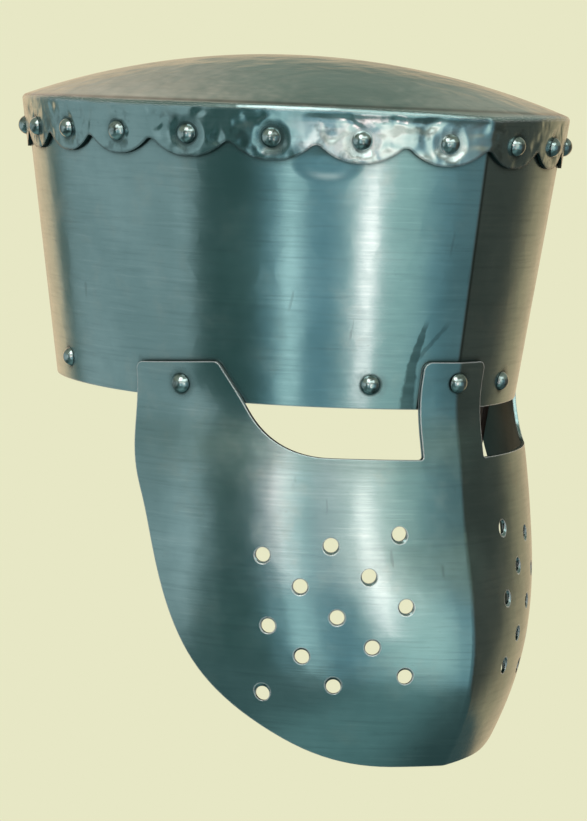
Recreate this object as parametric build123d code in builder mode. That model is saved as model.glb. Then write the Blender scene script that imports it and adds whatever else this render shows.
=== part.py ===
from build123d import *
from math import acos, asin, cos, exp, pi, sin, sqrt
import os

# Great helm with a keeled skull band, a low domed crown plate, a pierced face plate and a
# leather liner, all riveted. Millimetres, +Z up, the face looks along -Y. The origin is the
# middle of the brow rim, on the mirror plane, where the band is widest.

# Sheet steel and the small clearances of the assembly
steel_gauge = 1.6
sheet_gap = 0.2
hole_clearance = 0.1
leather_gap = 0.3
cut_overrun = 5.0

# Skull band: its half width, and as shares of it the other reaches of its outer face from the
# origin, at the brow rim and at the crown rim
brow_half_width = 98.0
crown_width_share = 1.1735
front_shares = (1.184, 1.357)
back_shares = (1.265, 1.48)
rim_height = 125.0
band_top_gap = 2.8
keel_radius = 5.0

# Lap seam at the back of the band
lap_width = 24.0
joggle_width = 4.0
seam_slit = 0.4
seam_rivet_shares = (0.272, 0.496, 0.72)

# Crown plate
dome_rise = 24.0
dome_tip_clip = 3.0
dome_overhang = 1.5
rim_bend_radius = 2.4
flange_depth = 22.0
scallop_count = 21
lobe_radius_share = 0.669
lobe_flat_depth = 0.3
cusp_radius = 3.0

# Face plate
face_depth = 153.5
keel_bulge = 20.5
bulge_skew = 1.6
bulge_end_share = 1.03
cheek_swell = 9.0
chin_narrowing = 10.0
brow_bend_length = 15.0
brow_step = 3.3
brow_step_top = 8.0
brow_step_bottom = 64.0
brow_step_skew = 0.75
face_level_count = 18
slot_height = 20.8
slot_split_share = 0.414
slot_inner_radius = 1.5
nose_strip_width = 33.0
nose_strip_height = 20.5
nose_corner_radius = 3.5
tab_front_share = 0.5343
tab_front_height = 17.3
tab_rear_share = 0.194
tab_rear_height = 14.0
tab_corner_radius = 3.5
# Outer end of each slot: its run and its corner. The left cheek was cut a little further back.
right_slot_run = 25.0
right_slot_radius = 40.0
left_slot_run = 12.0
left_slot_radius = 12.0
left_lag = 5.0
# Free rear edge of the cheek, from the tab to the chin: shares of brow_front and face_depth
cheek_edge_shares = ((0.293, 0.293), (0.50, 0.724), (0.716, 0.905))
chin_edge_share = 0.966
chin_lift = 1.3

# Breathing holes on each cheek: across in shares of the brow's front, down in shares of face_depth
breath_diameter = 6.2
breath_bevel = 0.5
breath_columns = 5
breath_first_share = 0.2586
breath_across_share = 0.1276
breath_top_share = 0.335
breath_down_share = 0.1954
breath_sag_share = 0.0176

# Rivets
shank_diameter = 4.0
head_diameter = 8.6
head_height = 3.2
tail_diameter = 6.4
tail_height = 1.3
crown_rivet_drop = 12.6
nose_rivet_height = 11.6
temple_rivet_height = 6.4
temple_rivet_share = 0.3827
liner_rivet_height = 10.3
liner_rivet_shares = (0.1117, 0.5977, 0.8385)
washer_diameter = 10.0
washer_thickness = 0.9
keel_allowance = 0.9
seat_gap = 0.1

# Leather liner
leather_thickness = 2.4
strip_bottom = 3.5
strip_height = 31.0
strip_back_gap = 34.0
tongue_bottom = 17.0
tongue_spring = 24.0
tongue_rise_share = 0.688
tongue_gap = 9.0
tongue_tip_share = 0.27
tongue_levels = 7
patch_overlap_share = 0.09

# Chin strap: a half on each temple rivet, turning on it
strap_width = 14.0
strap_gap = 0.7
strap_short = 52.0
strap_long = 140.0
strap_hole_diameter = 3.6
strap_hole_pitch = 13.0
strap_hole_count = 5
turning_clearance = 0.1

# Buckle
wire_diameter = 3.0
wire_corner_radius = 2.5
buckle_side_gap = 1.5
buckle_depth = 17.0
loop_clearance = 0.3
prong_diameter = 2.4
prong_slot_gap = 0.4
prong_slot_rise = 9.0
prong_overhang = 2.6

brow_front, crown_front = [brow_half_width * share for share in front_shares]
brow_back, crown_back = [brow_half_width * share for share in back_shares]
crown_half_width = brow_half_width * crown_width_share
band_height = rim_height - band_top_gap
tongue_rise = rim_height * tongue_rise_share


def at_height(brow_size, crown_size, height):
    """Size of the band at a height, on its straight taper from brow to crown."""
    return brow_size + (crown_size - brow_size) * height / rim_height


def side_radius(half_width, front):
    """Radius of the side arc that leaves the widest line square and ends at the keel."""
    return (front**2 + half_width**2) / (2 * half_width)


def pointed_oval(half_width, front, back, inset=0.0):
    """Plan outline with a keel in front and a half ellipse behind, moved inwards by inset."""
    radius = side_radius(half_width, front) - inset
    width = half_width - inset
    tip = sqrt(radius**2 - (radius - width) ** 2)
    with BuildSketch() as outline:
        with BuildLine():
            TangentArc((width, 0), (0, -tip), tangent=(0, -1))
            TangentArc((-width, 0), (0, -tip), tangent=(0, -1))
            EllipticalCenterArc((0, 0), width, back - inset, start_angle=0, arc_size=180)
        make_face()
        if keel_radius > inset:
            fillet(outline.vertices().sort_by(Axis.Y)[0], radius=keel_radius - inset)
    return outline.sketch


def band_outline(height, inset=0.0):
    """Plan outline of the band's outer face at a height, moved inwards by inset."""
    return pointed_oval(
        at_height(brow_half_width, crown_half_width, height),
        at_height(brow_front, crown_front, height),
        at_height(brow_back, crown_back, height),
        inset,
    )


def band_path(height, inset=0.0):
    """Half of the band's outline on the +X side, from the keel to the middle of the back."""
    half_width = at_height(brow_half_width, crown_half_width, height)
    radius = side_radius(half_width, at_height(brow_front, crown_front, height)) - inset
    width = half_width - inset
    sweep = asin(sqrt(radius**2 - (radius - width) ** 2) / radius) * 180 / pi
    with BuildLine() as path:
        CenterArc((width - radius, 0), radius, start_angle=-sweep, arc_size=sweep)
        EllipticalCenterArc(
            (0, 0), width, at_height(brow_back, crown_back, height) - inset, start_angle=0, arc_size=90
        )
    return path.wire().moved(Location((0, 0, height)))


def band_station(height, share, side=1, outset=0.0):
    """Plane square to the band at a share of the way from keel to back, local Z outwards."""
    path = band_path(height, -outset)
    point = path.position_at(share)
    rise = band_path(height + steel_gauge, -outset).position_at(share) - point
    normal = path.tangent_at(share).cross(rise).normalized()
    point = Vector(side * point.X, point.Y, point.Z)
    normal = Vector(side * normal.X, normal.Y, normal.Z)
    return Plane(origin=point, x_dir=Vector(0, 0, 1).cross(normal), z_dir=normal)


def keel_station(height, outset):
    """Plane square to the band's keel at a height, local Z forwards."""
    point = band_path(height, -outset).position_at(0)
    rise = band_path(height + steel_gauge, -outset).position_at(0) - point
    return Plane(origin=point, x_dir=Vector(1, 0, 0), z_dir=Vector(1, 0, 0).cross(rise).normalized())


def share_at_reach(height, reach):
    """Share of the half outline whose point lies reach in front of the widest line."""
    half_width = at_height(brow_half_width, crown_half_width, height)
    front = at_height(brow_front, crown_front, height)
    radius = side_radius(half_width, front)
    return radius * (asin(front / radius) - asin(reach / radius)) / band_path(height).length


def face_size(height):
    """Half width and front reach of the face plate's outer face at a height."""
    cover = steel_gauge + sheet_gap
    half_width = at_height(brow_half_width, crown_half_width, height) + cover
    front = at_height(brow_front, crown_front, height) + cover
    if height < 0:
        depth_share = -height / face_depth
        fade = exp(height / brow_bend_length)
        half_width = brow_half_width + cover + fade * (half_width - brow_half_width - cover)
        front = brow_front + cover + fade * (front - brow_front - cover)
        half_width += cheek_swell * sin(pi * depth_share) - chin_narrowing * depth_share**2
        front += keel_bulge * sin(pi * min(depth_share / bulge_end_share, 1) ** bulge_skew)
    step_share = (brow_step_top - height) / (brow_step_top + brow_step_bottom)
    front += brow_step * sin(pi * min(max(step_share, 0), 1) ** brow_step_skew) ** 2
    return half_width, front


def face_outline(height, inset=0.0):
    """Plan outline of the face plate's form at a height, closed by a half round behind."""
    half_width, front = face_size(height)
    return pointed_oval(half_width, front, half_width, inset)


def face_station(height, distance, side):
    """Plane on the face plate at a height and a distance round it from the keel."""
    half_width, front = face_size(height)
    radius = side_radius(half_width, front)
    angle = distance / radius - asin(front / radius)
    normal = Vector(side * cos(angle), sin(angle), 0)
    point = Vector(side * (half_width - radius), 0, height) + normal * radius
    return Plane(origin=point, x_dir=Vector(0, 0, 1).cross(normal), z_dir=normal)


def rivet(grip):
    """Domed rivet through a stack of that thickness, seated at Z 0 with its head on +Z."""
    shank_radius = shank_diameter / 2
    with BuildPart() as made:
        with BuildSketch(Plane.XZ):
            with BuildLine():
                Line((0, head_height), (0, -grip - tail_height))
                TangentArc((0, -grip - tail_height), (tail_diameter / 2, -grip), tangent=(1, 0))
                Polyline(
                    (tail_diameter / 2, -grip), (shank_radius, -grip), (shank_radius, 0), (head_diameter / 2, 0)
                )
                TangentArc((0, head_height), (head_diameter / 2, 0), tangent=(1, 0))
            make_face()
        revolve(axis=Axis.Z)
    return made.part


def finish(node, name):
    """Labels a piece and writes it as the node of that name."""
    node.label = name
    export_step(node, f"parts/{name}.step")


os.makedirs("parts", exist_ok=True)

# Thickness of each riveted stack, with its clearances
flange_stack = 2 * steel_gauge + 2 * sheet_gap
seam_stack = 2 * steel_gauge + 2 * sheet_gap
liner_stack = steel_gauge + leather_thickness + washer_thickness + 3 * leather_gap
face_stack = liner_stack + steel_gauge + sheet_gap + seat_gap
temple_stack = face_stack + leather_thickness + strap_gap
nose_stack = face_stack + keel_allowance
hole_radius = shank_diameter / 2 + hole_clearance

# Where the rivets go
crown_rivet_height = rim_height - crown_rivet_drop
cover = steel_gauge + sheet_gap
lobe_shares = [(2 * index + 1) / scallop_count for index in range(scallop_count // 2)]
crown_stations = [
    band_station(crown_rivet_height, share, side, cover) for share in lobe_shares for side in (1, -1)
]
rear_station = band_station(crown_rivet_height, 1, 1, cover)
nose_station = keel_station(nose_rivet_height, cover + seat_gap)
temple_reach = brow_front * temple_rivet_share
temple_shares = [share_at_reach(temple_rivet_height, temple_reach - lag) for lag in (left_lag, 0)]
temple_stations = [
    band_station(temple_rivet_height, share, side, cover + seat_gap) for share, side in zip(temple_shares, (1, -1))
]
liner_stations = [band_station(liner_rivet_height, share, side) for share in liner_rivet_shares for side in (1, -1)]
seam_stations = [band_station(rim_height * share, 1) for share in seam_rivet_shares]

# Skull band: one tapered sheet, keeled in front, its ends lapped at the back
lap_inset = steel_gauge + sheet_gap
slit_side = lap_width / 2
with BuildPart() as lap_tongue:
    for height in (0, band_height):
        with BuildSketch(Plane.XY.offset(height)):
            add(band_outline(height, lap_inset))
    loft(ruled=True)
    for height in (-cut_overrun, band_height + cut_overrun):
        with BuildSketch(Plane.XY.offset(height)):
            add(band_outline(height, lap_inset + steel_gauge))
    loft(ruled=True, mode=Mode.SUBTRACT)
    with Locations((seam_slit / 2 + joggle_width / 2, crown_back, band_height / 2)):
        Box(lap_width + seam_slit + joggle_width, crown_back, band_height, mode=Mode.INTERSECT)
with BuildPart() as joggle:
    for height in (0, band_height):
        with BuildSketch(Plane.XY.offset(height)):
            add(band_outline(height))
    loft(ruled=True)
    for height in (-cut_overrun, band_height + cut_overrun):
        with BuildSketch(Plane.XY.offset(height)):
            add(band_outline(height, lap_inset + steel_gauge))
    loft(ruled=True, mode=Mode.SUBTRACT)
    with Locations((slit_side + seam_slit + joggle_width / 2, crown_back, band_height / 2)):
        Box(joggle_width, crown_back, band_height, mode=Mode.INTERSECT)
with BuildPart() as skull_band:
    for height in (0, band_height):
        with BuildSketch(Plane.XY.offset(height)):
            add(band_outline(height))
    loft(ruled=True)
    for height in (-cut_overrun, band_height + cut_overrun):
        with BuildSketch(Plane.XY.offset(height)):
            add(band_outline(height, steel_gauge))
    loft(ruled=True, mode=Mode.SUBTRACT)
    with Locations((slit_side + seam_slit / 2, crown_back, band_height / 2)):
        Box(seam_slit, crown_back, 2 * band_height, mode=Mode.SUBTRACT)
    add(joggle.part)
    add(lap_tongue.part)
    for station in crown_stations + [rear_station, nose_station] + temple_stations:
        with Locations(station.location):
            Cylinder(hole_radius, 4 * cut_overrun, mode=Mode.SUBTRACT)
    for station in liner_stations + seam_stations:
        with Locations(station.location):
            Cylinder(hole_radius, 4 * cut_overrun, mode=Mode.SUBTRACT)
finish(skull_band.part, "skull_band")

# Crown plate: the dome is a squashed ball, the flange follows the band outside it
lobe_bottom = rim_height - flange_depth
dome_half_width = crown_half_width + cover + dome_overhang
dome_reach_front = crown_front + cover - dome_tip_clip
dome_reach_back = crown_back + cover + dome_overhang
dome_half_length = (dome_reach_front + dome_reach_back) / 2
dome_middle = (dome_reach_back - dome_reach_front) / 2
ball_radius = (dome_half_width**2 + dome_rise**2) / (2 * dome_rise)


def dome_ball(drop):
    """Squashed ball whose top is the dome, its skin moved inwards by drop."""
    ball = Sphere(ball_radius - drop, mode=Mode.PRIVATE)
    ball = scale(ball, by=(1, dome_half_length / dome_half_width, 1), mode=Mode.PRIVATE)
    return ball.moved(Location((0, dome_middle, rim_height + dome_rise - ball_radius)))


def on_rim(edge):
    """Whether an edge lies wholly in the bend between the flange and the dome."""
    box = edge.bounding_box()
    return abs(box.min.Z - rim_height) < dome_rise / 3 and abs(box.max.Z - rim_height) < dome_rise / 3


with BuildPart() as crown_hollow:
    for height in (lobe_bottom - cut_overrun, rim_height + dome_rise):
        with BuildSketch(Plane.XY.offset(height)):
            add(band_outline(height, -sheet_gap))
    loft(ruled=True)
    add(dome_ball(steel_gauge), mode=Mode.INTERSECT)
    fillet(crown_hollow.edges().filter_by(on_rim), radius=rim_bend_radius - steel_gauge)
with BuildPart() as crown_plate:
    for height in (lobe_bottom, rim_height + dome_rise):
        with BuildSketch(Plane.XY.offset(height)):
            add(band_outline(height, -cover))
    loft(ruled=True)
    add(dome_ball(0), mode=Mode.INTERSECT)
    fillet(crown_plate.edges().filter_by(on_rim), radius=rim_bend_radius)
    add(crown_hollow.part, mode=Mode.SUBTRACT)
    for station in crown_stations + [rear_station]:
        with Locations(station.location):
            Cylinder(hole_radius, 4 * cut_overrun, mode=Mode.SUBTRACT)

# Scallops: between two lobes the flange is cut away up to a rounded cusp
lobe_pitch = 2 * band_path(crown_rivet_height, -cover).length / scallop_count
lobe_radius = lobe_pitch * lobe_radius_share
lobe_lift = lobe_bottom - lobe_flat_depth + lobe_radius
with BuildSketch() as scallop:
    with Locations((0, -lobe_radius)):
        Rectangle(lobe_pitch, 2 * lobe_radius)
    with Locations((-lobe_pitch / 2, 0), (lobe_pitch / 2, 0)):
        Circle(lobe_radius, mode=Mode.SUBTRACT)
    fillet(scallop.vertices().filter_by(lambda corner: abs(corner.X) < sheet_gap).sort_by(Axis.Y)[-1], cusp_radius)
with BuildPart() as scalloped_plate:
    add(crown_plate.part)
    for index in range(scallop_count // 2 + 1):
        for side in (1, -1) if index else (1,):
            station = band_station(crown_rivet_height, 2 * index / scallop_count, side, cover)
            upright = Vector(station.z_dir.X, station.z_dir.Y, 0)
            middle = Vector(station.origin.X, station.origin.Y, lobe_lift)
            cut_plane = Plane(origin=middle, x_dir=Vector(0, 0, 1).cross(upright), z_dir=upright)
            with BuildSketch(cut_plane):
                add(scallop.sketch)
            extrude(amount=2 * cut_overrun, both=True, mode=Mode.SUBTRACT)
finish(scalloped_plate.part, "crown_plate")

# Face plate: bent sheet from the brow down to the chin, closed by a round form behind
brow_top = nose_strip_height + cut_overrun
level_pitch = (brow_top + face_depth + cut_overrun) / (face_level_count - 1)
with BuildPart() as face_shell:
    for level in range(face_level_count):
        with BuildSketch(Plane.XY.offset(brow_top - level * level_pitch)):
            add(face_outline(brow_top - level * level_pitch))
    loft()
    for level in range(-1, face_level_count + 1):
        with BuildSketch(Plane.XY.offset(brow_top - level * level_pitch)):
            add(face_outline(brow_top - level * level_pitch, steel_gauge))
    loft(mode=Mode.SUBTRACT)

# One side's profile, drawn square to the temple: x backwards along the plate, y up
temple_normal = Vector(temple_stations[1].z_dir.X, temple_stations[1].z_dir.Y, 0).normalized()
temple_view = Plane(
    origin=(temple_stations[1].origin.X, temple_stations[1].origin.Y, 0),
    x_dir=temple_normal.cross(Vector(0, 0, 1)),
    z_dir=-temple_normal,
)


def in_view(reach, height):
    """Place in the temple view of the plate's point that far in front, at a height."""
    half_width, front = face_size(height)
    radius = side_radius(half_width, front)
    point = Vector(radius - half_width - sqrt(radius**2 - reach**2), -reach, height)
    return temple_view.to_local_coords(point).X, height


def reach_across(across, height):
    """How far in front the plate's point lies that is this far from the mirror plane."""
    half_width, front = face_size(height)
    radius = side_radius(half_width, front)
    return sqrt(radius**2 - (across + radius - half_width) ** 2)


def cheek_profile(slot_run, slot_radius):
    """Outline of the right cheek with its tab, the outer end of its slot and its free edge."""
    edge_points = [in_view(brow_front * reach, -face_depth * depth) for reach, depth in cheek_edge_shares]
    chin_corner = in_view(brow_front * chin_edge_share, -face_depth)
    tab_rear = in_view(brow_front * tab_rear_share, tab_rear_height)
    tab_front = in_view(brow_front * tab_front_share, tab_front_height)
    slot_corner = (tab_front[0] - slot_run, -slot_height)
    slot_split = in_view(reach_across(slot_split_reach - 2 * cut_overrun, -slot_height), -slot_height)
    past_front = in_view(brow_front * chin_edge_share, 0)[0] - brow_front
    with BuildSketch() as profile:
        with BuildLine():
            Spline((chin_corner, *edge_points[::-1], (tab_rear[0], 0)), tangents=((1, 0), (0, 1)))
            Polyline(
                (tab_rear[0], 0),
                tab_rear,
                tab_front,
                slot_corner,
                slot_split,
                (slot_split[0], brow_top + cut_overrun),
                (past_front, brow_top + cut_overrun),
                (past_front, chin_lift - face_depth),
                chin_corner,
            )
        make_face()
        corners = ((tab_rear, tab_corner_radius), (tab_front, tab_corner_radius), (slot_corner, slot_radius))
        for corner, radius in corners:
            fillet(profile.vertices().sort_by_distance((*corner, 0))[0], radius=radius)
    return profile.sketch


def cheek_block(profile, lag):
    """Block over the right half with that profile, moved backwards by lag."""
    with BuildPart() as block:
        with BuildSketch(temple_view):
            with Locations((lag, 0)):
                add(profile)
        extrude(amount=2 * brow_front, both=True)
        with Locations((-2 * brow_front, 0, 0)):
            Box(4 * brow_front, 8 * brow_front, 8 * brow_front, mode=Mode.INTERSECT)
    return block.part


slot_split_reach = brow_front * slot_split_share
with BuildPart() as side_block:
    add(cheek_block(cheek_profile(left_slot_run, left_slot_radius), left_lag))
    mirror(about=Plane.YZ, mode=Mode.REPLACE)
    add(cheek_block(cheek_profile(right_slot_run, right_slot_radius), 0))

# Slot openings either side of the nose strip, drawn from the front
with BuildSketch(Plane.XZ) as slot_view:
    with Locations((0, (brow_top + cut_overrun - slot_height) / 2)):
        Rectangle(2 * slot_split_reach, brow_top + cut_overrun + slot_height)
    with Locations((0, (nose_strip_height - slot_height - cut_overrun) / 2)):
        Rectangle(nose_strip_width, nose_strip_height + slot_height + cut_overrun, mode=Mode.SUBTRACT)
    for above, radius in ((True, nose_corner_radius), (False, slot_inner_radius)):
        inner_corners = slot_view.vertices().filter_by(lambda corner: abs(corner.X) < slot_split_reach - sheet_gap)
        fillet(inner_corners.filter_by(lambda corner: (corner.Y > 0) is above), radius=radius)
breath_stations = []
for column in range(breath_columns):
    for row in range(3 - column % 2):
        drop = breath_top_share + breath_sag_share * column + breath_down_share * (row + column % 2 / 2)
        around = breath_first_share + breath_across_share * column
        breath_stations += [face_station(-face_depth * drop, brow_front * around, side) for side in (1, -1)]
with BuildPart() as breath_cutter:
    with BuildSketch(Plane.XZ):
        Polygon(
            (0, -cut_overrun),
            (breath_diameter / 2, -cut_overrun),
            (breath_diameter / 2, -breath_bevel),
            (breath_diameter / 2 + breath_bevel + cut_overrun, cut_overrun),
            (0, cut_overrun),
            align=None,
        )
    revolve(axis=Axis.Z)
with BuildPart() as face_plate:
    add(face_shell.part)
    add(side_block.part, mode=Mode.INTERSECT)
    add(slot_view.sketch)
    extrude(to_extrude=slot_view.sketch, amount=2 * brow_front, mode=Mode.SUBTRACT)
    for station in breath_stations:
        with Locations(station.location):
            add(breath_cutter.part, mode=Mode.SUBTRACT)
    for station in [nose_station] + temple_stations:
        with Locations(station.location):
            Cylinder(hole_radius, 4 * cut_overrun, mode=Mode.SUBTRACT)
finish(face_plate.part, "face_plate")

# Rivets, grouped by kind, each seated on the outermost sheet it holds
thin_rivet = rivet(flange_stack)
rear_rivet = rivet(flange_stack + steel_gauge + sheet_gap)
seam_rivet = rivet(seam_stack)
liner_rivet = rivet(liner_stack)
nose_bolt = rivet(nose_stack)
temple_bolt = rivet(temple_stack)
with BuildPart() as crown_rivets:
    for station in crown_stations:
        with Locations(station.location):
            add(thin_rivet)
    with Locations(rear_station.location):
        add(rear_rivet)
finish(crown_rivets.part, "crown_rivets")
with BuildPart() as seam_rivets:
    for station in seam_stations:
        with Locations(station.location):
            add(seam_rivet)
finish(seam_rivets.part, "seam_rivets")
with BuildPart() as liner_rivets:
    for station in liner_stations:
        with Locations(station.location):
            add(liner_rivet)
finish(liner_rivets.part, "liner_rivets")
with BuildPart() as nose_rivet:
    with Locations(nose_station.location):
        add(nose_bolt)
finish(nose_rivet.part, "nose_rivet")
for station, name in zip(temple_stations, ("temple_rivet_left", "temple_rivet_right")):
    with BuildPart() as temple_rivet:
        with Locations(station.location):
            add(temple_bolt)
    finish(temple_rivet.part, name)

# Washers, just outside the tails
washer_seats = [(station, liner_stack) for station in liner_stations]
washer_seats += [(nose_station, nose_stack)]
washer_seats += [(station, temple_stack) for station in temple_stations]
with BuildPart() as liner_washers:
    for station, grip in washer_seats:
        with Locations(station.offset(washer_thickness / 2 + leather_gap / 2 - grip).location):
            Cylinder(washer_diameter / 2, washer_thickness)
            Cylinder(hole_radius, 2 * washer_thickness, mode=Mode.SUBTRACT)
finish(liner_washers.part, "liner_washers")

# Leather headband inside the band, open at the back over the lap
strip_inset = steel_gauge + leather_gap
with BuildPart() as liner_strip:
    for height in (strip_bottom, strip_bottom + strip_height):
        with BuildSketch(Plane.XY.offset(height)):
            add(band_outline(height, strip_inset))
    loft(ruled=True)
    for height in (strip_bottom - cut_overrun, strip_bottom + strip_height + cut_overrun):
        with BuildSketch(Plane.XY.offset(height)):
            add(band_outline(height, strip_inset + leather_thickness))
    loft(ruled=True, mode=Mode.SUBTRACT)
    with Locations((0, crown_back, strip_bottom + strip_height / 2)):
        Box(strip_back_gap, crown_back, 2 * strip_height, mode=Mode.SUBTRACT)
    for station in liner_stations + [nose_station] + temple_stations:
        with Locations(station.location):
            Cylinder(hole_radius, 4 * cut_overrun, mode=Mode.SUBTRACT)
finish(liner_strip.part, "liner_strip")

# Leather tongues: one bowl, upright against the headband and then domed, parted into eight
tongue_inset = strip_inset + leather_thickness + leather_gap


def bowl_section(share, inset):
    """Plan outline of the bowl where it has drawn in to a share of its width at the spring."""
    outline = band_outline(tongue_spring, tongue_inset)
    length = brow_front + brow_back
    shrink = share * (length - 2 * inset) / length
    rise = (tongue_rise - inset) * sqrt(1 - share**2)
    return scale(outline, by=shrink, mode=Mode.PRIVATE).moved(Location((0, 0, tongue_spring + rise)))


def bowl(shares, inset):
    """Solid under the bowl between the first and the last of those shares."""
    return Solid.make_loft([bowl_section(share, inset).wire() for share in shares])


tip_turn = acos(tongue_tip_share)
tongue_shares = [cos(tip_turn * index / tongue_levels) for index in range(tongue_levels + 1)]
upright_shrink = 1 - 2 * leather_thickness / (brow_front + brow_back)
with BuildPart() as liner_bowl:
    for height in (tongue_bottom, tongue_spring):
        with BuildSketch(Plane.XY.offset(height)):
            add(band_outline(height, tongue_inset))
    loft(ruled=True)
    for height in (tongue_bottom - cut_overrun, tongue_spring):
        with BuildSketch(Plane.XY.offset(height)):
            add(scale(band_outline(height, tongue_inset), by=upright_shrink, mode=Mode.PRIVATE))
    loft(ruled=True, mode=Mode.SUBTRACT)
    add(bowl(tongue_shares, 0))
    add(bowl(tongue_shares, leather_thickness), mode=Mode.SUBTRACT)
tongue_names = ["side_left", "rear_left", "rear_right", "side_right"]
tongue_names += ["temple_right", "front_right", "front_left", "temple_left"]
half_turn = pi / len(tongue_names)
corner_reach = tongue_gap / 2 / sin(half_turn)
tongue_reach = 2 * brow_back
for index, name in enumerate(tongue_names):
    middle_turn = half_turn * (2 * index + 1)
    corner = (corner_reach * cos(middle_turn), corner_reach * sin(middle_turn))
    sides = [
        (corner[0] + tongue_reach * cos(turn), corner[1] + tongue_reach * sin(turn))
        for turn in (middle_turn - half_turn, middle_turn + half_turn)
    ]
    with BuildPart() as tongue:
        add(liner_bowl.part)
        with BuildSketch():
            Polygon(corner, *sides, align=None)
        extrude(amount=2 * rim_height, mode=Mode.INTERSECT)
    finish(tongue.part, f"liner_tongue_{name}")

# Top patch, sewn over the tips
patch_shares = [tongue_tip_share + patch_overlap_share * (1 - step) for step in (0, 1, 2)]
with BuildPart() as liner_top:
    add(bowl(patch_shares, -leather_gap - leather_thickness))
    add(bowl([patch_shares[0] + patch_overlap_share / 2] + patch_shares, -leather_gap), mode=Mode.SUBTRACT)
finish(liner_top.part, "liner_top")

# Chin strap: a pivot on each temple rivet; x lies along the plate and y up in each view
strap_depth = face_stack - washer_thickness - 2 * leather_gap + strap_gap
bar_drop = strap_short + wire_diameter / 2 + loop_clearance + leather_thickness
bar_depth = strap_depth + leather_thickness / 2
loop_radius = wire_diameter / 2 + loop_clearance + leather_thickness
pivot_radius = shank_diameter / 2 + turning_clearance
strap_views = [station.offset(-strap_depth) for station in temple_stations]
with BuildPart() as chin_strap_left:
    with BuildSketch(strap_views[0]):
        Circle(strap_width / 2)
        Polygon(
            (-strap_width / 2, 0),
            (-strap_width / 2, strap_width - strap_long),
            (-strap_width / 8, -strap_long),
            (strap_width / 8, -strap_long),
            (strap_width / 2, strap_width - strap_long),
            (strap_width / 2, 0),
            align=None,
        )
        Circle(pivot_radius, mode=Mode.SUBTRACT)
        for index in range(strap_hole_count):
            with Locations((0, 2 * strap_width - strap_long + strap_hole_pitch * index)):
                Circle(strap_hole_diameter / 2, mode=Mode.SUBTRACT)
    extrude(amount=-leather_thickness)
finish(chin_strap_left.part, "chin_strap_left")
bar_view = temple_stations[1].offset(-bar_depth)
bar_view = Plane(origin=bar_view.from_local_coords((0, -bar_drop, 0)), x_dir=bar_view.x_dir, z_dir=bar_view.z_dir)
bar_end = Plane(origin=bar_view.origin, x_dir=bar_view.y_dir, z_dir=bar_view.x_dir)
with BuildPart() as chin_strap_right:
    with BuildSketch(strap_views[1]):
        Circle(strap_width / 2)
        with Locations((0, -bar_drop / 2)):
            Rectangle(strap_width, bar_drop)
        Circle(pivot_radius, mode=Mode.SUBTRACT)
    extrude(amount=-leather_thickness)
    with BuildSketch(bar_end):
        Circle(loop_radius)
    extrude(amount=strap_width / 2, both=True)
    with BuildSketch(bar_end):
        Circle(wire_diameter / 2 + loop_clearance)
    extrude(amount=strap_width, both=True, mode=Mode.SUBTRACT)
    with BuildSketch(bar_view):
        with Locations((0, (prong_slot_rise - loop_radius - cut_overrun) / 2)):
            Rectangle(wire_diameter + 2 * prong_slot_gap, prong_slot_rise + loop_radius + cut_overrun)
    extrude(amount=2 * loop_radius, both=True, mode=Mode.SUBTRACT)
finish(chin_strap_right.part, "chin_strap_right")

# Buckle: a frame of round wire on the strap's loop and a prong on the same bar
frame_width = strap_width + 2 * buckle_side_gap + wire_diameter
with BuildPart() as buckle_frame:
    with BuildLine(bar_view) as frame_path:
        FilletPolyline(
            (0, 0),
            (frame_width / 2, 0),
            (frame_width / 2, -buckle_depth),
            (0, -buckle_depth),
            radius=wire_corner_radius,
        )
    with BuildSketch(bar_end):
        Circle(wire_diameter / 2)
    sweep(path=frame_path.wire())
    mirror(about=Plane(origin=bar_view.origin, z_dir=bar_view.x_dir))
finish(buckle_frame.part, "buckle_frame")
prong_lift = (wire_diameter + prong_diameter) / 2 + loop_clearance
with BuildPart() as buckle_prong:
    with BuildSketch(bar_end):
        Circle(wire_diameter / 2 + turning_clearance + prong_diameter / 2)
    extrude(amount=wire_diameter / 2, both=True)
    rod_start = bar_view.from_local_coords((0, 0, prong_lift))
    with BuildSketch(Plane(origin=rod_start, x_dir=bar_view.x_dir, z_dir=-bar_view.y_dir)):
        Circle(prong_diameter / 2)
    extrude(amount=buckle_depth + prong_overhang)
    with BuildSketch(bar_end):
        Circle(wire_diameter / 2 + turning_clearance)
    extrude(amount=wire_diameter, both=True, mode=Mode.SUBTRACT)
finish(buckle_prong.part, "buckle_prong")
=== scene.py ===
import math

import bpy
from mathutils import Matrix, Quaternion, Vector
from mathutils.bvhtree import BVHTree


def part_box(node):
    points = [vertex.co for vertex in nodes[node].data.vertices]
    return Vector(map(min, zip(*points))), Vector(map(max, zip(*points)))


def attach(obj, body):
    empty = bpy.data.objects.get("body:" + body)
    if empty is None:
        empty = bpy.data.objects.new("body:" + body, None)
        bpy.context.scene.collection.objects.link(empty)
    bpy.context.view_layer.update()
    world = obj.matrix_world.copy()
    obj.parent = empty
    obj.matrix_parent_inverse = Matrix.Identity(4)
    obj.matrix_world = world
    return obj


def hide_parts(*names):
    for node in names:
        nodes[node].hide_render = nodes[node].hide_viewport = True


# Looks for the riveted great helm. Metres, +Z up, the face looks along -Y.

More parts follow.
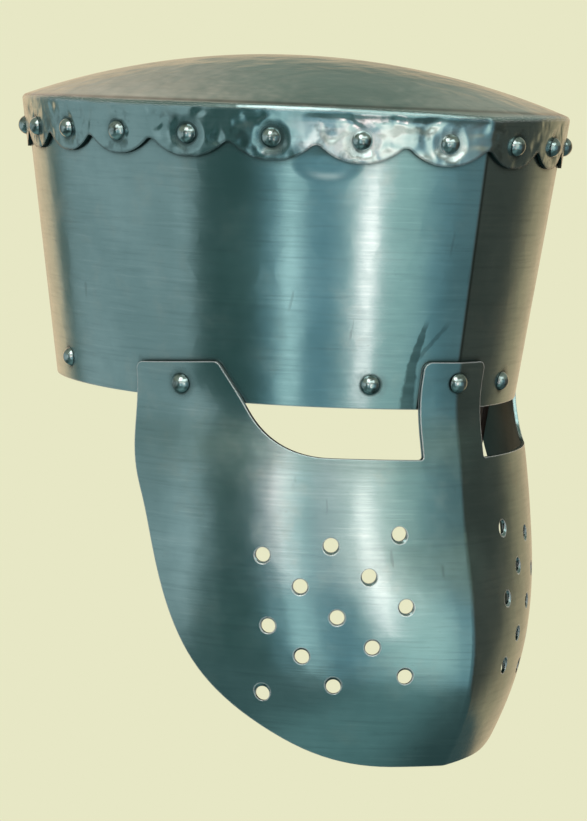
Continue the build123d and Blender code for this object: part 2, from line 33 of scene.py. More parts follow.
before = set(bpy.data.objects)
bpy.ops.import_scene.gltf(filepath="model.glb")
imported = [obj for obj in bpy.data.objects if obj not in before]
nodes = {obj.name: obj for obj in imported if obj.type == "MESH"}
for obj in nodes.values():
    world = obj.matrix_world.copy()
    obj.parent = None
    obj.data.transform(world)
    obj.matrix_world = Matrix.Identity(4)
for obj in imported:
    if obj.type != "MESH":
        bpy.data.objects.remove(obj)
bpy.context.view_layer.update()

# Camera: where it stands from the middle of the brow rim, and how it is turned
camera_place = (-0.77838, -1.03900, 0.12168)
camera_turn = 36.94
camera_dip = 5.91
camera_roll = 2.31
camera_lens = 124.93
camera_sensor = 36

# Backdrop, floor and soft light
backdrop_color = (0.799, 0.799, 0.558)
floor_grain_color = (0.78, 0.78, 0.55)
floor_bounce_color = (0.22, 0.26, 0.26)
floor_height = -0.62
floor_radius = 1.0
floor_fade_start = floor_radius * 0.45
floor_fade_end = floor_radius * 0.97
soft_light_level = 0.60
floor_glow = (0.115, 0.200, 0.195)
top_light_color = (1.0, 0.98, 0.94)
strip_light_color = (1.0, 0.66, 0.62)

# What the steel mirrors: screens round the helm, then what lies between, over and under them
rear_rim_tone = (0.50, 0.42, 0.32)
right_wall_tone = (0.33, 0.36, 0.37)
right_wall_edge_tone = (0.20, 0.21, 0.21)
side_strip_tone = (0.98, 1.08, 0.96)
side_strip_core_tone = (2.80, 1.65, 1.50)
front_sky_tone = (0.14, 0.25, 0.32)
cheek_fill_tone = (0.34, 0.40, 0.34)
cheek_gleam_tone = (0.54, 0.24, 0.22)
front_wall_tone = (0.46, 0.50, 0.38)
keel_wall_tone = (0.08, 0.12, 0.15)
left_wall_tone = (0.50, 0.36, 0.20)
left_rear_tone = (0.35, 0.25, 0.18)
right_gap_tone = (0.06, 0.125, 0.115)
left_gap_tone = (0.075, 0.075, 0.06)
front_ceiling_tone = (0.25, 0.29, 0.23)
middle_ceiling_tone = (0.44, 0.42, 0.33)
rear_ceiling_tone = (0.92, 0.72, 0.56)
ceiling_box_tone = (1.5, 1.7, 1.65)
left_ground_tone = (0.08, 0.11, 0.10)

# Steel plates
plate_color = (0.42, 0.56, 0.57)
plate_shade = (0.31, 0.44, 0.45)
plate_warm = (0.52, 0.56, 0.52)
dark_line_color = (0.20, 0.29, 0.30)
pale_line_color = (0.62, 0.72, 0.72)
scratch_color = (0.16, 0.20, 0.20)
speck_color = (0.12, 0.14, 0.13)
# Colour of dirt and of painted shade at the rivets' feet and in overlaps
grime_and_shade_color = (0.06, 0.085, 0.08)
# Painted shade on the faces inside the helm
inside_shade_color = (0.036, 0.070, 0.065)
# Painted highlight along the plates' edges
edge_highlight_color = (0.93, 0.95, 0.93)
# Painted shadow along the crown's scallop edges
scallop_edge_shadow_color = (0.03, 0.045, 0.045)
# Painted highlight on the front of the crown's flange
flange_highlight_color = (0.93, 0.94, 0.94)
bruise_color = (0.13, 0.18, 0.18)
# Painted shade along the crown's bend
bend_shade_color = (0.05, 0.07, 0.065)
# Painted shade along the band's keel
keel_shade_color = (0.06, 0.085, 0.085)
stain_color = (0.075, 0.12, 0.12)
# Painted shade in a ring round the dent
dent_shade_color = (0.12, 0.16, 0.16)
grain_depth = 0.0002
wave_depth = 0.0016
hammer_depth = 0.0018
crown_dish_depth = 0.0008
plate_edge = 0.0008
crown_edge = 0.0020
# How far the painted shade in overlaps reaches
overlap_shade_reach = 0.006

# Marks round a rivet: where they start and end, past the edge of its head. The first is painted shade at the
# foot of the head, the second dirt smeared past it, the third the dish sunk round it
rivet_foot_shade_span = (0.0003, 0.0015)
grime_smear = (0.0007, 0.0042)
crown_dish = (-0.0013, 0.0045)

# Marks on the plates: a line is its middle and its width, and the dent is flattened by its stretch
helm_middle = (0.0, 0.0, 0.02)
# painted shade along the keel
keel_shade_line = (0.0009, 0.0007)
# painted shade along the crown's bend
bend_shade_line = (0.0234, 0.0007)
dent_middle = (-0.0625, -0.1030, 0.10237)
dent_stretch = (1.0, 1.0, 1.9)

# Small metal parts
rivet_color = (0.50, 0.58, 0.58)
rivet_grime_color = (0.16, 0.19, 0.18)
# Painted shade at the foot of each rivet head
rivet_seat_shade_color = (0.05, 0.07, 0.07)
washer_color = (0.36, 0.37, 0.36)
brass_color = (0.52, 0.40, 0.20)
# How far the painted shade at a rivet head's foot reaches
rivet_shade_reach = 0.003
peened_depth = 0.0005
handled_depth = 0.0003

# Leather and thread
headband_color = (0.085, 0.045, 0.025)
tongue_color = (0.15, 0.080, 0.042)
patch_color = (0.12, 0.062, 0.034)
strap_color = (0.045, 0.028, 0.020)
thread_color = (0.38, 0.31, 0.20)
leather_grain = 0.0010
leather_edge = 0.0008
crease_depth = 0.0006
strap_corner = 0.00045
stitch_length = 0.0034
stitch_thickness = 0.0009
stitches_round_head = 132
stitches_round_patch = 56
hem_inset = 0.0023
tongue_row_insets = (0.0028, 0.0058)
washer_gap = 0.0095
patch_ring_across = 0.0295
patch_ring_along = 0.036
patch_ring_middle = 0.0016

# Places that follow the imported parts
head_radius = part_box("nose_rivet")[1][0]
flange_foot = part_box("crown_plate")[0][2]
headband_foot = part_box("liner_strip")[0][2]
tongue_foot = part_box("liner_tongue_front_left")[0][2]


class Shade:
    """A number or a colour from a shader socket, so that shader maths reads as Python expressions."""

    def __init__(self, tree, socket):
        self.tree = tree
        self.socket = socket

    def maths(self, operation, *values, clamp=False):
        settings = {"operation": operation, "use_clamp": clamp}
        return self.tree.node("ShaderNodeMath", settings=settings, at=dict(enumerate(values)))

    def __add__(self, other):
        return self.maths("ADD", self, other)

    def __radd__(self, other):
        return self.maths("ADD", other, self)

    def __sub__(self, other):
        return self.maths("SUBTRACT", self, other)

    def __rsub__(self, other):
        return self.maths("SUBTRACT", other, self)

    def __mul__(self, other):
        return self.maths("MULTIPLY", self, other)

    def __rmul__(self, other):
        return self.maths("MULTIPLY", other, self)

    def __truediv__(self, other):
        return self.maths("DIVIDE", self, other)

    def __pow__(self, other):
        return self.maths("POWER", self, other)

    def clamped(self):
        return self.maths("ADD", self, 0.0, clamp=True)

    def lesser(self, other):
        return self.maths("MINIMUM", self, other)

    def bell(self, middle, width):
        """1 at the middle, falling away smoothly on both sides."""
        return self.maths("EXPONENT", 0 - ((self - middle) / width) ** 2)

    def rising(self, low, high):
        """0 below low, 1 above high, and smooth between."""
        settings = {"interpolation_type": "SMOOTHSTEP"}
        return self.tree.node(
            "ShaderNodeMapRange", "Result", settings=settings, Value=self, From_Min=low, From_Max=high
        )

    def beside(self, output):
        """Another output of the same node."""
        return Shade(self.tree, self.socket.node.outputs[output])


class Tree:
    """The node tree of one material or of the world."""

    def __init__(self, owner):
        owner.use_nodes = True
        self.nodes = owner.node_tree.nodes
        self.links = owner.node_tree.links
        self.nodes.clear()

    def feed(self, socket, value):
        if isinstance(value, Shade):
            self.links.new(value.socket, socket)
        elif isinstance(value, tuple) and len(value) == 3 and len(socket.default_value) == 4:
            socket.default_value = (*value, 1)
        else:
            socket.default_value = value

    def node(self, kind, output=0, settings=None, at=None, **sockets):
        """Adds a node: its settings first, then its sockets, by their place or by name. Gives one output."""
        made = self.nodes.new(kind)
        for name, value in (settings or {}).items():
            setattr(made, name, value)
        for place, value in (at or {}).items():
            self.feed(made.inputs[place], value)
        for name, value in sockets.items():
            if value is not None:
                self.feed(made.inputs[name.replace("_", " ")], value)
        return Shade(self, made.outputs[output]) if made.outputs else None

    def mixed(self, factor, first, second):
        """Colour between two colours."""
        return self.node("ShaderNodeMix", 2, {"data_type": "RGBA"}, {0: factor, 6: first, 7: second})

    def vectors(self, operation, *values, output=0):
        return self.node("ShaderNodeVectorMath", output, {"operation": operation}, dict(enumerate(values)))

    def scaled(self, vector, factor):
        return self.node("ShaderNodeVectorMath", 0, {"operation": "SCALE"}, {0: vector}, Scale=factor)

    def place(self, stretch=(1, 1, 1)):
        """Object coordinates, stretched."""
        coordinates = self.node("ShaderNodeTexCoord", "Object")
        return self.node("ShaderNodeMapping", Vector=coordinates, Scale=stretch)

    def axes(self, vector):
        """The three numbers of a vector: across, along and up."""
        across = self.node("ShaderNodeSeparateXYZ", "X", Vector=vector)
        return across, across.beside("Y"), across.beside("Z")

    def noise(self, scale, detail=4.0, roughness=0.55, stretch=(1, 1, 1)):
        place = self.place(stretch)
        return self.node(
            "ShaderNodeTexNoise", "Fac", Vector=place, Scale=scale, Detail=detail, Roughness=roughness
        )

    def distance_to(self, points, stretch=(1, 1, 1)):
        """Distance to the nearest of some points."""
        here = self.place(stretch)
        nearest = None
        for point in points:
            there = tuple(value * factor for value, factor in zip(point, stretch))
            reach = self.vectors("DISTANCE", here, there, output=1)
            nearest = nearest.lesser(reach) if nearest else reach
        return nearest

    def closeness(self, distance):
        """How hidden a place is by what stands nearer than a distance."""
        return 1 - self.node("ShaderNodeAmbientOcclusion", "AO", {"samples": 6}, Distance=distance)

    def softened(self, radius):
        """The surface's normal with its edges rounded, and how near an edge lies."""
        rounded = self.node("ShaderNodeBevel", settings={"samples": 4}, Radius=radius)
        plain = self.node("ShaderNodeNewGeometry", "True Normal")
        turned = self.vectors("DOT_PRODUCT", rounded, plain, output=1)
        return rounded, (1 - turned).rising(0.005, 0.07)

    def bump(self, height, strength, distance, below=None):
        return self.node("ShaderNodeBump", Height=height, Strength=strength, Distance=distance, Normal=below)

    def blended(self, factor, first, second):
        """One shader laid over another."""
        return self.node("ShaderNodeMixShader", at={0: factor, 1: first, 2: second})

    def surface(self, **sockets):
        self.finish("ShaderNodeOutputMaterial", self.node("ShaderNodeBsdfPrincipled", **sockets))

    def finish(self, kind, shader):
        self.node(kind, Surface=shader)


def new_material(name):
    material = bpy.data.materials.new(name)
    return material, Tree(material)


def toned(color, share):
    """The same colour, darker or lighter."""
    return tuple(value * share for value in color)


def wear(piece, material):
    """Gives a piece that material all over."""
    piece.data.materials.clear()
    piece.data.materials.append(material)
    for face in piece.data.polygons:
        face.material_index = 0


def rivet_places(*names, spread=0.014):
    """Middle of each rivet in those nodes."""
    places = []
    for name in names:
        groups = []
        for vertex in nodes[name].data.vertices:
            near = [group for group in groups if (group[0] - vertex.co).length < spread]
            if near:
                near[0].append(vertex.co.copy())
            else:
                groups.append([vertex.co.copy()])
        places += [sum(group, Vector()) / len(group) for group in groups]
    return places


def grinding_strokes(tree):
    """Broad streaks that the grinding wheel leaves along a plate."""
    return tree.noise(260, detail=5, roughness=0.7, stretch=(0.05, 0.05, 1.0))


def plate_tone(tree, lines, patch):
    """Steel that is cloudy, streaked along the plate, scratched and specked."""
    cloud = tree.noise(13, detail=5, roughness=0.6)
    strokes = grinding_strokes(tree)
    scratch = tree.noise(210, detail=3, roughness=0.5, stretch=(1.0, 0.25, 0.12)).rising(0.70, 0.74)
    speck = tree.noise(900, detail=2).rising(0.70, 0.78)
    color = tree.mixed(cloud.rising(0.36, 0.66), plate_shade, plate_color)
    color = tree.mixed(patch.rising(0.52, 0.72) * 0.30, color, plate_warm)
    color = tree.mixed(strokes.rising(0.52, 0.78) * 0.45, color, plate_shade)
    color = tree.mixed(lines.rising(0.50, 0.72) * 0.28, color, dark_line_color)
    color = tree.mixed((1 - lines).rising(0.54, 0.74) * 0.20, color, pale_line_color)
    color = tree.mixed(scratch * 0.30, color, scratch_color)
    return tree.mixed(speck * 0.35, color, speck_color)


def past_head(reach, start, end):
    """0 up to the start and 1 from the end, both counted outward from the edge of a rivet's head."""
    return reach.rising(head_radius + start, head_radius + end)


def plate_grime_and_shade(tree, reach, patch):
    """Painted shade in a ring round the foot of each rivet and in every overlap, and dirt smeared past the
    rivets in patches.
    """
    # painted shade in a ring at the foot of each rivet head
    shade_ring = 1 - past_head(reach, *rivet_foot_shade_span)
    smear = (1 - past_head(reach, *grime_smear)) * patch.rising(0.35, 0.60)
    seat = (shade_ring + smear * 0.6).clamped()
    # the closeness of nearby parts paints shade into every overlap
    return (seat * 0.6 + tree.closeness(overlap_shade_reach).rising(0.08, 0.42) * 0.9).clamped()


def inward(tree):
    """1 on what faces the inside of the helm."""
    coordinates = tree.node("ShaderNodeTexCoord", "Object")
    outward = tree.vectors("NORMALIZE", tree.vectors("SUBTRACT", coordinates, helm_middle))
    facing = tree.vectors("DOT_PRODUCT", coordinates.beside("Normal"), outward, output=1)
    return 1 - facing.rising(-0.30, -0.10)


def ground_plate(
    name, rivets, marks=None, rim=edge_highlight_color, edge_round=plate_edge, rub=0.14, wave=1.0, dish=0.0
):
    """Sheet steel, ground along the plate and rubbed with fine abrasive, painted dark inside as shade, with
    painted shade at the rivets and in overlaps, and its edges in the rim tone, by default a painted
    highlight. A dish is the depth to which it is sunk round each rivet."""
    material, tree = new_material(name)
    brush = tree.noise(1300, detail=3, stretch=(0.03, 0.03, 1.0))
    lines = tree.noise(640, detail=4, roughness=0.65, stretch=(0.045, 0.045, 1.0))
    patch = tree.noise(48, detail=6, roughness=0.65)
    reach = tree.distance_to(rivets)
    grime_and_shade = plate_grime_and_shade(tree, reach, patch)
    # painted shade at rivet feet and in overlaps, with dirt, darkens the plate
    color = tree.mixed(grime_and_shade, plate_tone(tree, lines, patch), grime_and_shade_color)
    worked = None
    if marks:
        color, worked = marks(tree, color)
    rounded, edge = tree.softened(edge_round)
    # painted highlight along every edge; on the crown also a painted shadow line under the scallops
    color = tree.mixed(edge * 0.9, color, rim(tree) if callable(rim) else rim)
    inside = inward(tree)
    # faces turned to the inside are painted dark, as shade
    color = tree.mixed(inside, color, inside_shade_color)
    roughness = rub + brush * 0.05 + lines * 0.05 + patch.rising(0.4, 0.7) * 0.05
    roughness = roughness + grime_and_shade * 0.15 + inside * 0.35
    relief = tree.bump(brush, 0.08, grain_depth, rounded)
    relief = tree.bump(tree.noise(30, detail=2), 0.30 * wave, wave_depth, relief)
    if worked:
        relief = tree.bump(worked, 1.0, hammer_depth, relief)
    if dish:
        relief = tree.bump(past_head(reach, *crown_dish), 1.0, dish, relief)
        relief = tree.bump(tree.noise(62, detail=2), 0.45, hammer_depth, relief)
    # edges lose their metal, so that the painted edge tone shows under any light
    metallic = 1 - edge * (1 - inside) * 0.75
    tree.surface(Base_Color=color, Metallic=metallic, Roughness=roughness, Normal=relief)
    return material


def crown_rim(tree):
    """Tone of the crown plate's edges: a painted shadow line under the scallops, and a painted highlight
    along the bend above.
    """
    rise = tree.axes(tree.place())[2] - flange_foot
    return tree.mixed(rise.rising(0.009, 0.012), scallop_edge_shadow_color, edge_highlight_color)


def crown_marks(tree, color):
    """Marks on the crown: its flange painted brighter over the brow as a highlight and leaning back there,
    bruises of the hammer all round, and a painted line of shade along the bend."""
    across, along, height = tree.axes(tree.place())
    rise = height - flange_foot
    front = (1 - along.rising(-0.108, -0.088)) * (1 - across.rising(-0.006, 0.004))
    front = front * (1 - rise.rising(0.016, 0.0205))
    # painted highlight in patches on the flange over the brow
    flange_highlight_mask = front * tree.noise(55, detail=3).rising(0.24, 0.44)
    color = tree.mixed(flange_highlight_mask * 0.6, color, flange_highlight_color)
    bruise = tree.noise(85, detail=4, roughness=0.6).rising(0.54, 0.66) * (1 - rise.rising(0.016, 0.020))
    color = tree.mixed(bruise * 0.55, color, bruise_color)
    # painted shade in a thin line along the bend
    color = tree.mixed(rise.bell(*bend_shade_line) * 0.75, color, bend_shade_color)
    lean = (0.0135 - rise) * 100 * front
    blows = tree.noise(90, detail=1).rising(0.45, 0.75) * (1 - rise.rising(0.018, 0.0215))
    return color, lean - blows * 0.35


def band_marks(tree, color):
    """Marks on the band: a painted shade line along the creased keel, a two-pointed stain beside it and a
    dent under the crown, with a painted shade ring round it.
    """
    across, along, rise = tree.axes(tree.place())
    front = 1 - along.rising(-0.02, 0.0)
    # painted shade in a thin line along the keel
    color = tree.mixed(across.bell(*keel_shade_line) * front * 0.65, color, keel_shade_color)

    ragged = across + tree.noise(190, detail=4, roughness=0.7) * 0.003 - 0.0015
    low = 1 - rise.rising(0.033, 0.039)
    streak_middle = (rise - 0.020).clamped() * 0.21 - 0.0208
    streak = ragged.bell(streak_middle, 0.0036 - rise * 0.07).rising(0.28, 0.66)
    branch_middle = rise * 0.75 - 0.0352
    branch = ragged.bell(branch_middle, 0.0014).rising(0.25, 0.75) * rise.rising(0.019, 0.024)
    stain = ((streak + branch * 0.55) * low).clamped() * front
    stain = stain * (grinding_strokes(tree).rising(0.25, 0.60) * 0.3 + 0.7)
    color = tree.mixed(stain * 0.9, color, stain_color)

    reach = tree.distance_to([dent_middle], stretch=dent_stretch)
    # painted shade in a ring round the dent
    shade_ring = reach.bell(0.0125, 0.0028) * (1 - rise.rising(0.100, 0.104))
    color = tree.mixed(shade_ring * 0.14, color, dent_shade_color)
    return color, reach.rising(0.004, 0.016) * 0.45 - 0.45


def rivet_steel(name):
    """Small hand-peened heads."""
    material, tree = new_material(name)
    hammered = tree.noise(500, detail=3, roughness=0.6)
    color = tree.mixed(tree.noise(260, detail=4).rising(0.45, 0.7), rivet_color, rivet_grime_color)
    # painted shade round the foot of each head, from the closeness of nearby parts
    seat = tree.closeness(rivet_shade_reach).rising(0.15, 0.6) * 0.85
    color = tree.mixed(seat, color, rivet_seat_shade_color)
    relief = tree.bump(hammered, 0.30, peened_depth)
    tree.surface(Base_Color=color, Metallic=1.0, Roughness=0.12 + hammered * 0.14, Normal=relief)
    return material


def plain_metal(name, color, rough):
    """Small parts that are handled: duller in patches."""
    material, tree = new_material(name)
    worn = tree.noise(300, detail=4)
    tone = tree.mixed(worn.rising(0.4, 0.7), color, toned(color, 0.6))
    relief = tree.bump(worn, 0.2, handled_depth)
    tree.surface(Base_Color=tone, Metallic=1.0, Roughness=rough + worn * 0.15, Normal=relief)
    return material


def hide(name, color):
    """Vegetable-tanned leather with pores, creases and rubbed patches."""
    material, tree = new_material(name)
    pores = tree.node("ShaderNodeTexVoronoi", "Distance", Vector=tree.place(), Scale=900.0)
    creases = tree.noise(120, detail=6, roughness=0.6)
    rubbed = tree.noise(28, detail=4)
    rounded, edge = tree.softened(leather_edge)
    tone = tree.mixed(rubbed.rising(0.4, 0.7) * 0.6, color, toned(color, 1.9))
    tone = tree.mixed(creases.rising(0.5, 0.75) * 0.5, tone, toned(color, 0.45))
    tone = tree.mixed(edge * 0.7, tone, toned(color, 0.4))
    relief = tree.bump(pores, 0.25, grain_depth, rounded)
    relief = tree.bump(creases, 0.35, crease_depth, relief)
    rough = 0.48 + creases * 0.25
    tree.surface(Base_Color=tone, Roughness=rough, Normal=relief, Specular_IOR_Level=0.4)
    return material


def thread(name):
    """Waxed linen thread, twisted."""
    material, tree = new_material(name)
    twist = tree.node("ShaderNodeTexWave", "Fac", Vector=tree.place(), Scale=700.0, Distortion=1.5)
    tone = tree.mixed(twist, thread_color, toned(thread_color, 0.55))
    tree.surface(Base_Color=tone, Roughness=0.7, Normal=tree.bump(twist, 0.4, grain_depth))
    return material


def start_clean():
    bpy.ops.object.select_all(action="DESELECT")


def take_up(piece):
    """Makes a piece the only selected one, and the active one."""
    start_clean()
    piece.select_set(True)
    bpy.context.view_layer.objects.active = piece


def apply_modifier(piece, kind, **settings):
    take_up(piece)
    made = piece.modifiers.new(kind.title(), kind)
    for name, value in settings.items():
        setattr(made, name, value)
    bpy.ops.object.modifier_apply(modifier=made.name)


def cut_leather(name, source):
    """A closed copy of one leather solid, its loose triangles merged."""
    piece = bpy.data.objects.new(name, nodes[source].data.copy())
    bpy.context.scene.collection.objects.link(piece)
    take_up(piece)
    bpy.ops.object.mode_set(mode="EDIT")
    bpy.ops.mesh.select_all(action="SELECT")
    bpy.ops.mesh.remove_doubles(threshold=0.00001)
    bpy.ops.object.mode_set(mode="OBJECT")
    return piece


def settle(piece, source, body, material):
    """Puts a leather piece on its body, in place of its solid."""
    wear(piece, material)
    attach(piece, body)
    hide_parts(source)


def moulded_leather(name, source, material):
    """Leather that was shaped wet: soft rounded edges all round."""
    piece = cut_leather(name, source)
    apply_modifier(piece, "REMESH", mode="VOXEL", voxel_size=leather_grain)
    apply_modifier(piece, "SMOOTH", factor=0.5, iterations=5)
    take_up(piece)
    bpy.ops.object.shade_smooth()
    settle(piece, source, "helm", material)
    return piece


def flat_strap(name, source, body, material):
    """A strap, cut flat and edged: its corners are rubbed round."""
    piece = cut_leather(name, source)
    bpy.ops.object.mode_set(mode="EDIT")
    bpy.ops.mesh.select_all(action="SELECT")
    bpy.ops.mesh.dissolve_limited(angle_limit=math.radians(2))
    bpy.ops.object.mode_set(mode="OBJECT")
    corner = math.radians(50)
    apply_modifier(
        piece, "BEVEL", width=strap_corner, segments=3, limit_method="ANGLE", angle_limit=corner,
        use_clamp_overlap=True,
    )
    take_up(piece)
    bpy.ops.object.shade_smooth_by_angle(angle=math.radians(40))
    settle(piece, source, body, material)


def stitch_pattern():
    """One stitch along X, a little flattened, with soft edges."""
    start_clean()
    bpy.ops.mesh.primitive_cube_add(size=1, location=(0, 0, 0))
    stitch = bpy.context.active_object
    bpy.ops.object.mode_set(mode="EDIT")
    bpy.ops.mesh.select_all(action="SELECT")
    bpy.ops.transform.resize(value=(stitch_length, stitch_thickness, stitch_thickness * 0.7))
    bpy.ops.object.mode_set(mode="OBJECT")
    apply_modifier(stitch, "BEVEL", width=stitch_thickness * 0.32, segments=2)
    take_up(stitch)
    bpy.ops.object.shade_smooth()
    return stitch


def sew(name, pattern, seats, material):
    """Copies one stitch to every seat, given as point, run and outward, and joins the row."""
    row = []
    for point, run, outward in seats:
        copy = bpy.data.objects.new(name, pattern.data.copy())
        bpy.context.scene.collection.objects.link(copy)
        run = (run - outward * run.dot(outward)).normalized()
        turned = Matrix((run, outward.cross(run), outward)).transposed().to_4x4()
        copy.data.transform(Matrix.Translation(point) @ turned)
        row.append(copy)
    start_clean()
    for copy in row:
        copy.select_set(True)
    bpy.context.view_layer.objects.active = row[0]
    bpy.ops.object.join()
    joined = bpy.context.active_object
    joined.name = name
    wear(joined, material)
    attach(joined, "helm")


def surface_of(*pieces):
    """The shapes of some pieces, for finding points on them."""
    return [BVHTree.FromObject(piece, bpy.context.evaluated_depsgraph_get()) for piece in pieces]


def first_touch(shapes, start, way):
    """Where a line from start first meets one of the shapes, and which way it faces there."""
    hits = [shape.ray_cast(start, way) for shape in shapes]
    hits = [hit for hit in hits if hit[0] is not None]
    if not hits:
        return None
    point, facing, _, _ = min(hits, key=lambda hit: hit[3])
    return point, -facing if facing.dot(way) > 0 else facing


def turns(count):
    """That many even steps of a full turn."""
    return [2 * math.pi * step / count for step in range(count)]


def ring_seats(shapes, height, keep_off=(), gap=0.0, least_reach=0.06):
    """Stitch seats round the inside of the liner at one height."""
    seats = []
    for turn in turns(stitches_round_head):
        hit = first_touch(shapes, Vector((0, 0, height)), Vector((math.cos(turn), math.sin(turn), 0)))
        if not hit or hit[0].to_2d().length <= least_reach:
            continue
        if all((hit[0] - spot).length > gap for spot in keep_off):
            seats.append((hit[0], Vector((0, 0, 1)).cross(hit[1]), hit[1]))
    return seats


def patch_seats(shapes, start_height=0.06, least_height=0.09):
    """Stitch seats in an oval ring under the crown patch, found by looking up from inside the helm."""
    seats = []
    for turn in turns(stitches_round_patch):
        across = patch_ring_across * math.cos(turn)
        along = patch_ring_middle + patch_ring_along * math.sin(turn)
        hit = first_touch(shapes, Vector((across, along, start_height)), Vector((0, 0, 1)))
        if hit and hit[0].z > least_height:
            seats.append((hit[0], Vector((-math.sin(turn), math.cos(turn), 0)), hit[1]))
    return seats


def finish_metal():
    """Plates, rivets and trim keep their solids and get their finish."""
    crown_seats = rivet_places("crown_rivets")
    band_seats = rivet_places("liner_rivets", "seam_rivets", "nose_rivet")
    face_seats = rivet_places("nose_rivet", "temple_rivet_left", "temple_rivet_right")
    wear(nodes["skull_band"], ground_plate("band_steel", band_seats, marks=band_marks, wave=0.4))
    crown = ground_plate(
        "crown_steel", crown_seats, marks=crown_marks, rim=crown_rim, edge_round=crown_edge, wave=1.4,
        dish=crown_dish_depth,
    )
    wear(nodes["crown_plate"], crown)
    wear(nodes["face_plate"], ground_plate("face_steel", face_seats, rub=0.155, wave=0.7))
    heads = rivet_steel("rivet_steel")
    for name in nodes:
        if "_rivet" in name:
            wear(nodes[name], heads)
    wear(nodes["liner_washers"], plain_metal("washer_steel", washer_color, 0.35))
    brass = plain_metal("buckle_brass", brass_color, 0.28)
    wear(nodes["buckle_frame"], brass)
    wear(nodes["buckle_prong"], brass)


def make_leather():
    """Headband, eight tongues, crown patch and the two chin straps, with their saddle stitching."""
    headband_hide = hide("headband_leather", headband_color)
    tongue_hide = hide("tongue_leather", tongue_color)
    patch_hide = hide("patch_leather", patch_color)
    strap_hide = hide("strap_leather", strap_color)
    linen = thread("linen_thread")
    headband = moulded_leather("headband", "liner_strip", headband_hide)
    tongues = []
    for source in [name for name in nodes if name.startswith("liner_tongue")]:
        shown = source.replace("liner_tongue", "tongue")
        tongues.append(moulded_leather(shown, source, tongue_hide))
    moulded_leather("crown_patch", "liner_top", patch_hide)
    flat_strap("long_strap", "chin_strap_left", "strap_left", strap_hide)
    flat_strap("buckle_strap", "chin_strap_right", "strap_right", strap_hide)

    stitch = stitch_pattern()
    washers = rivet_places("liner_washers")
    hem = ring_seats(surface_of(headband), headband_foot + hem_inset, washers, gap=washer_gap)
    sew("headband_stitching", stitch, hem, linen)
    bowl = surface_of(*tongues)
    joins = []
    for inset in tongue_row_insets:
        joins += ring_seats(bowl, tongue_foot + inset)
    sew("tongue_stitching", stitch, joins, linen)
    sew("crown_stitching", stitch, patch_seats(bowl), linen)
    bpy.data.objects.remove(stitch)


def ray_kinds(tree):
    """1 on what the camera sees, on what shows through glass, and on what is mirrored."""
    seen = tree.node("ShaderNodeLightPath", "Is Camera Ray")
    return seen, seen.beside("Is Transmission Ray"), seen.beside("Is Glossy Ray")


def studio_world():
    """Pale backdrop for the eye, soft even light, and a studio for the steel to mirror."""
    world = bpy.data.worlds.new("studio")
    bpy.context.scene.world = world
    tree = Tree(world)
    across, along, rise = tree.axes(tree.node("ShaderNodeTexCoord", "Generated"))
    azimuth = across.maths("ARCTAN2", across, 0 - along) * (180 / math.pi)

    def panel(first, last, soft):
        """Screen between two azimuths in degrees, counted from the face towards +X, with soft sides."""
        return azimuth.rising(first - soft, first + soft) * (1 - azimuth.rising(last - soft, last + soft))

    wall_end = rise.lesser(0.0) * 72 - rise * 30 - 84
    screens = (
        (rear_rim_tone, panel(-250, -177, 6)),
        (right_wall_tone, panel(-168, wall_end, 4) * (1 - rise.rising(-0.05, 0.14) * 0.25)),
        (right_wall_edge_tone, panel(-101, wall_end, 4)),
        (front_sky_tone, panel(-63.5, 10, 7)),
        (side_strip_tone, panel(-56, -49.5, 4)),
        (side_strip_core_tone, panel(-59, -53, 2.5) * rise.rising(-0.06, 0.06)),
        (cheek_fill_tone, panel(-54, -8, 5) * rise.rising(0.0, 0.10)),
        (cheek_gleam_tone, panel(-43, -9, 6) * rise.rising(0.0, 0.12)),
        (front_wall_tone, panel(-30, 2, 7) * (rise.rising(-0.44, -0.28) * 0.45 + 0.55)),
        (keel_wall_tone, panel(8, 40, 8)),
        (left_wall_tone, panel(97, 250, 14)),
        (left_rear_tone, panel(122, 250, 16)),
    )
    around = tree.mixed(panel(30, 250, 18), right_gap_tone, left_gap_tone)
    for tone, shape in screens:
        around = tree.vectors("ADD", around, tree.scaled(tone, shape))
    ceiling = tree.mixed(panel(152, 250, 9), front_ceiling_tone, rear_ceiling_tone)
    ceiling = tree.mixed(panel(100, 136, 3), ceiling, middle_ceiling_tone)
    mirrored = tree.mixed(1 - rise.rising(0.10, 0.34), ceiling, around)
    ceiling_box = panel(-77, 24, 10) * rise.rising(0.34, 0.44) * (1 - rise.rising(0.60, 0.75))
    mirrored = tree.vectors("ADD", mirrored, tree.scaled(ceiling_box_tone, ceiling_box))
    ground = tree.mixed(panel(2, 250, 16), floor_glow, left_ground_tone)
    mirrored = tree.mixed(rise.rising(-0.62, -0.44), ground, mirrored)

    seen, through, glossy = ray_kinds(tree)
    tone = tree.mixed(glossy, (soft_light_level,) * 3, mirrored)
    tone = tree.mixed((seen + through).clamped(), tone, backdrop_color)
    tree.finish("ShaderNodeOutputWorld", tree.node("ShaderNodeBackground", Color=tone, Strength=1.0))


def soft_box(name, azimuth, distance, height, aims_at, width, tall, watts, color):
    """A soft box that stands round the helm, at an azimuth from its face towards +X, and is turned to the
    axis at the height that it aims at."""
    data = bpy.data.lights.new(name, "AREA")
    data.shape = "RECTANGLE"
    data.size = width
    data.size_y = tall
    data.energy = watts
    data.color = color
    lamp = bpy.data.objects.new(name, data)
    lamp.visible_camera = False
    bpy.context.scene.collection.objects.link(lamp)
    turn = math.radians(azimuth)
    lamp.location = (distance * math.sin(turn), -distance * math.cos(turn), height)
    lamp.rotation_mode = "QUATERNION"
    aim = Vector((-lamp.location.x, -lamp.location.y, aims_at - height))
    lamp.rotation_quaternion = aim.to_track_quat("-Z", "Y")


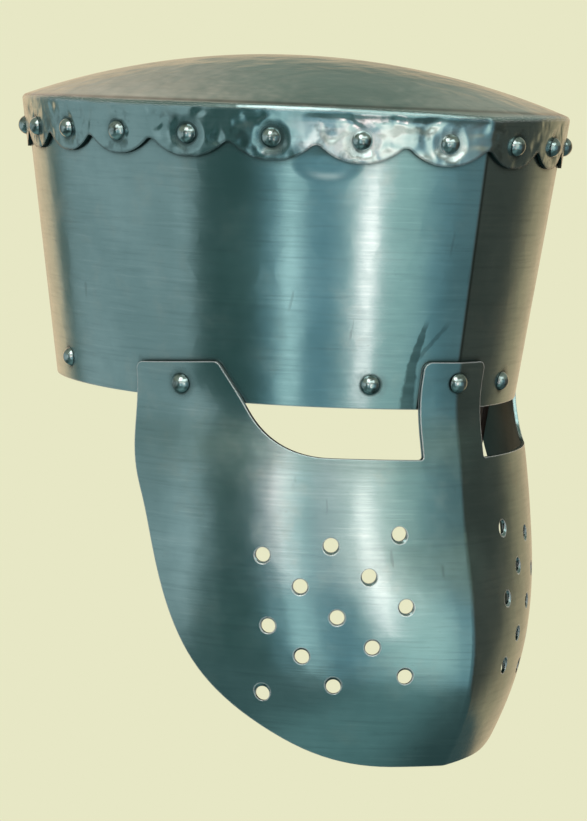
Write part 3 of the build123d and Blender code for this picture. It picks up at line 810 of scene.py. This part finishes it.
def pale_floor():
    """Round pale floor under the helm, melting into the backdrop at its edge."""
    bpy.ops.mesh.primitive_circle_add(
        vertices=96, radius=floor_radius, fill_type="NGON", location=(0, 0, floor_height)
    )
    floor = bpy.context.active_object
    floor.name = "floor"
    bpy.ops.object.transform_apply(location=True, rotation=True, scale=True)
    material, tree = new_material("floor")
    across, along = tree.axes(tree.place())[:2]
    outer = ((across * across + along * along) ** 0.5).rising(floor_fade_start, floor_fade_end)
    grain = tree.noise(60, detail=3).rising(0.3, 0.7)
    matt = tree.node("ShaderNodeBsdfDiffuse", Color=tree.mixed(grain, backdrop_color, floor_grain_color))
    melted = tree.node("ShaderNodeEmission", Color=backdrop_color, Strength=1.0)
    shown = tree.blended(outer, matt, melted)
    lit = (1 - across.rising(-0.14, 0.09)) * (across.rising(-0.62, -0.34) * 0.75 + 0.25)
    glow = tree.node("ShaderNodeEmission", Color=tree.scaled(floor_glow, 0.55 + lit), Strength=1.0)
    bounce = tree.node("ShaderNodeBsdfDiffuse", Color=floor_bounce_color)
    seen, _, glossy = ray_kinds(tree)
    unseen = tree.blended(glossy, bounce, glow)
    tree.finish("ShaderNodeOutputMaterial", tree.blended(seen, unseen, shown))
    wear(floor, material)


def photo_camera():
    data = bpy.data.cameras.new("camera")
    data.lens = camera_lens
    data.sensor_width = camera_sensor
    camera = bpy.data.objects.new("camera", data)
    bpy.context.scene.collection.objects.link(camera)
    camera.location = camera_place
    turn, dip, roll = (math.radians(value) for value in (camera_turn, camera_dip, camera_roll))
    ahead = Vector((math.sin(turn) * math.cos(dip), math.cos(turn) * math.cos(dip), -math.sin(dip)))
    camera.rotation_mode = "QUATERNION"
    camera.rotation_quaternion = Quaternion(ahead, -roll) @ ahead.to_track_quat("-Z", "Y")
    bpy.context.scene.camera = camera


finish_metal()
make_leather()
studio_world()
soft_box(
    "top_box", azimuth=-60, distance=1.6, height=1.7, aims_at=0.0, width=1.2, tall=1.2, watts=10,
    color=top_light_color,
)
soft_box(
    "key_strip", azimuth=-21.2, distance=0.45, height=-0.055, aims_at=-0.055, width=0.047, tall=0.145,
    watts=0.052, color=strip_light_color,
)
pale_floor()
photo_camera()
bpy.context.scene.view_settings.view_transform = "Standard"
